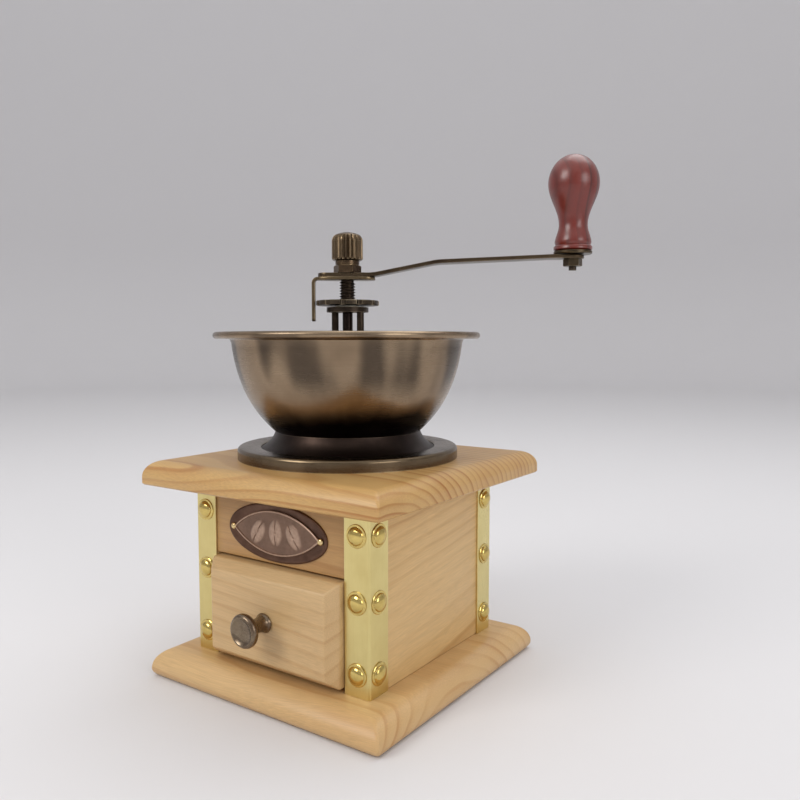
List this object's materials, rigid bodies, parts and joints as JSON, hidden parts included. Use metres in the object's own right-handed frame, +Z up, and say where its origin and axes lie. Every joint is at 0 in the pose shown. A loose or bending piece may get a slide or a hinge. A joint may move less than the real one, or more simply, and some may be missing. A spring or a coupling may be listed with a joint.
{
  "type": "manual coffee mill",
  "caption": "Wooden box coffee mill with brass corner strips, open metal hopper, conical burrs, hand crank with turned knob and a grounds drawer",
  "frame": {"origin": "middle of the underside of the base board, on the shaft's axis", "axes": "+Z up along the shaft, -Y towards the drawer front, +X to the right seen from the front"},
  "size_m": [0.16, 0.1384, 0.2335],
  "materials": {
    "pine": "clear satin lacquer",
    "drawer_pine": "planed, unlacquered inside",
    "plywood": "thin sheet, sanded",
    "brass_plate": "brass-plated sheet, bright",
    "copper_plate": "antique copper, relief rubbed bright",
    "bronze_plate": "antique bronze plating, lacquered",
    "dark_iron": "dark bronzed iron",
    "burr_steel": "as cast, oiled",
    "plated_steel": "zinc plated",
    "bush_brass": "turned, oiled",
    "red_lacquer": "red-brown gloss lacquer on turned wood"
  },
  "bodies": {
    "housing": {"base_board": "pine", "left_side": "pine", "right_side": "pine", "back_panel": "pine", "front_rail": "pine", "top_board": "pine", "strip_front_left": "brass_plate", "strip_front_right": "brass_plate", "strip_back_left": "brass_plate", "strip_back_right": "brass_plate", "strip_nails": "brass_plate", "nameplate": "copper_plate", "nameplate_pins": "plated_steel", "base_screws": "plated_steel", "mill_foot": "dark_iron", "foot_screws": "plated_steel", "trim_ring": "bronze_plate", "hopper_bowl": "bronze_plate", "outer_burr": "burr_steel", "burr_screws": "plated_steel", "lower_bar": "dark_iron", "bar_screws": "plated_steel", "bridge": "dark_iron", "bridge_screws": "plated_steel", "upper_bush": "bush_brass", "spring": "plated_steel"},
    "drawer": {"drawer_front": "pine", "drawer_left": "drawer_pine", "drawer_right": "drawer_pine", "drawer_back": "drawer_pine", "drawer_floor": "plywood", "drawer_knob": "bronze_plate", "drawer_knob_screw": "plated_steel"},
    "turning_washer": {"thrust_washer": "plated_steel"},
    "adjuster": {"adjusting_plate": "dark_iron"},
    "crank": {"shaft": "dark_iron", "inner_burr": "burr_steel", "burr_pin": "plated_steel", "tail_washer": "plated_steel", "tail_pin": "plated_steel", "lock_plate": "dark_iron", "crank_arm": "dark_iron", "lock_nut": "dark_iron", "cap_nut": "bronze_plate", "handle_spindle": "plated_steel", "handle_nut": "dark_iron"},
    "handle": {"handle_knob": "red_lacquer", "handle_ferrule": "dark_iron"}
  },
  "joints": [
    {"name": "drawer_slide", "type": "slide", "parent": "housing", "child": "drawer", "axis": [0, -1, 0], "range_m": [0, 0.065]},
    {"name": "crank_turn", "type": "hinge", "parent": "housing", "child": "turning_washer", "pos_m": [0, 0, 0.165], "axis": [0, 0, 1], "continuous": true},
    {"name": "adjuster_turn", "type": "hinge", "parent": "turning_washer", "child": "adjuster", "pos_m": [0, 0, 0.167], "axis": [0, 0, -1], "range_deg": [0, 270]},
    {"name": "shaft_rise", "type": "slide", "parent": "turning_washer", "child": "crank", "axis": [0, 0, 1], "range_m": [0, 0.0009375], "deforming": ["spring"]},
    {"name": "knob_spin", "type": "hinge", "parent": "crank", "child": "handle", "pos_m": [0.08355, 0.05851, 0.2], "axis": [0, 0, 1], "continuous": true}
  ],
  "couplings": [
    {"joint": "adjuster_turn", "follows": "shaft_rise", "rad_per_m": 5026.5}
  ]
}
